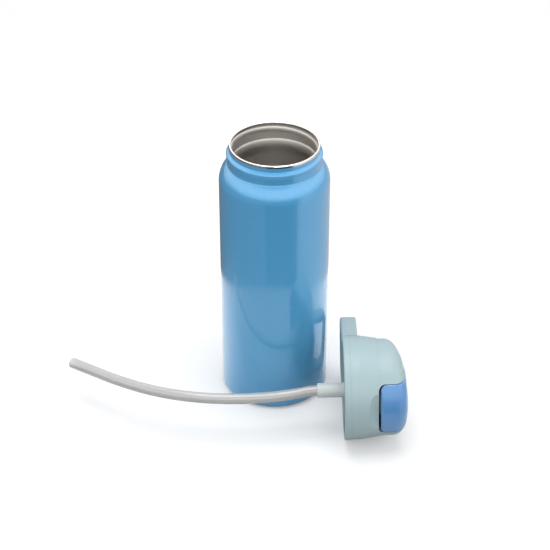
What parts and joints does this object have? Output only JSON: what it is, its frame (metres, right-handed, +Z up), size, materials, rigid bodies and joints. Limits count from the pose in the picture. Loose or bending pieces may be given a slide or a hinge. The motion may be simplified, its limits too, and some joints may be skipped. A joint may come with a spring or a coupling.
{
  "type": "insulated water bottle",
  "caption": "Insulated steel water bottle standing open, with its screw lid lying beside it: flip cover, carry loop and curved drinking straw.",
  "frame": {"origin": "centre of the bottle's base, on the surface it stands on", "axes": "+Z up along the bottle's axis; +X towards the side that the lid lies on; the lid and straw lie on the -Y side"},
  "size_m": [0.2301, 0.128, 0.1904],
  "materials": {
    "painted_steel": "gloss",
    "bare_steel": "satin",
    "getter_metal": "matte",
    "lid_plastic": "satin",
    "core_plastic": "satin",
    "cover_plastic": "gloss",
    "silicone": "matte",
    "straw_plastic": "gloss"
  },
  "bodies": {
    "bottle": {"outer_shell": "painted_steel", "inner_liner": "bare_steel", "base_cup": "bare_steel", "vacuum_seal": "bare_steel", "getter": "getter_metal"},
    "lid": {"lid_shell": "lid_plastic", "lid_core": "core_plastic", "neck_gasket": "silicone", "mouthpiece": "silicone", "mouthpiece_collar": "core_plastic", "vent_valve": "silicone", "straw_sleeve": "silicone", "hinge_pin": "bare_steel"},
    "cover": {"flip_cover": "cover_plastic", "cover_liner": "core_plastic", "cover_pad": "silicone"},
    "straw": {"straw": "straw_plastic"}
  },
  "joints": [
    {"name": "lid_lift", "type": "slide", "parent": "bottle", "child": "lid", "axis": [0, 0, 1], "range_m": [0, 0.2]},
    {"name": "cover_hinge", "type": "hinge", "parent": "lid", "child": "cover", "pos_m": [0.08038, -0.05509, 0.03584], "axis": [-0.0284, 0.0991, 0.9947], "range_deg": [0, 100]},
    {"name": "straw_pull", "type": "slide", "parent": "lid", "child": "straw", "axis": [-0.9996, -0.0061, -0.0279], "range_m": [0, 0.03]}
  ]
}
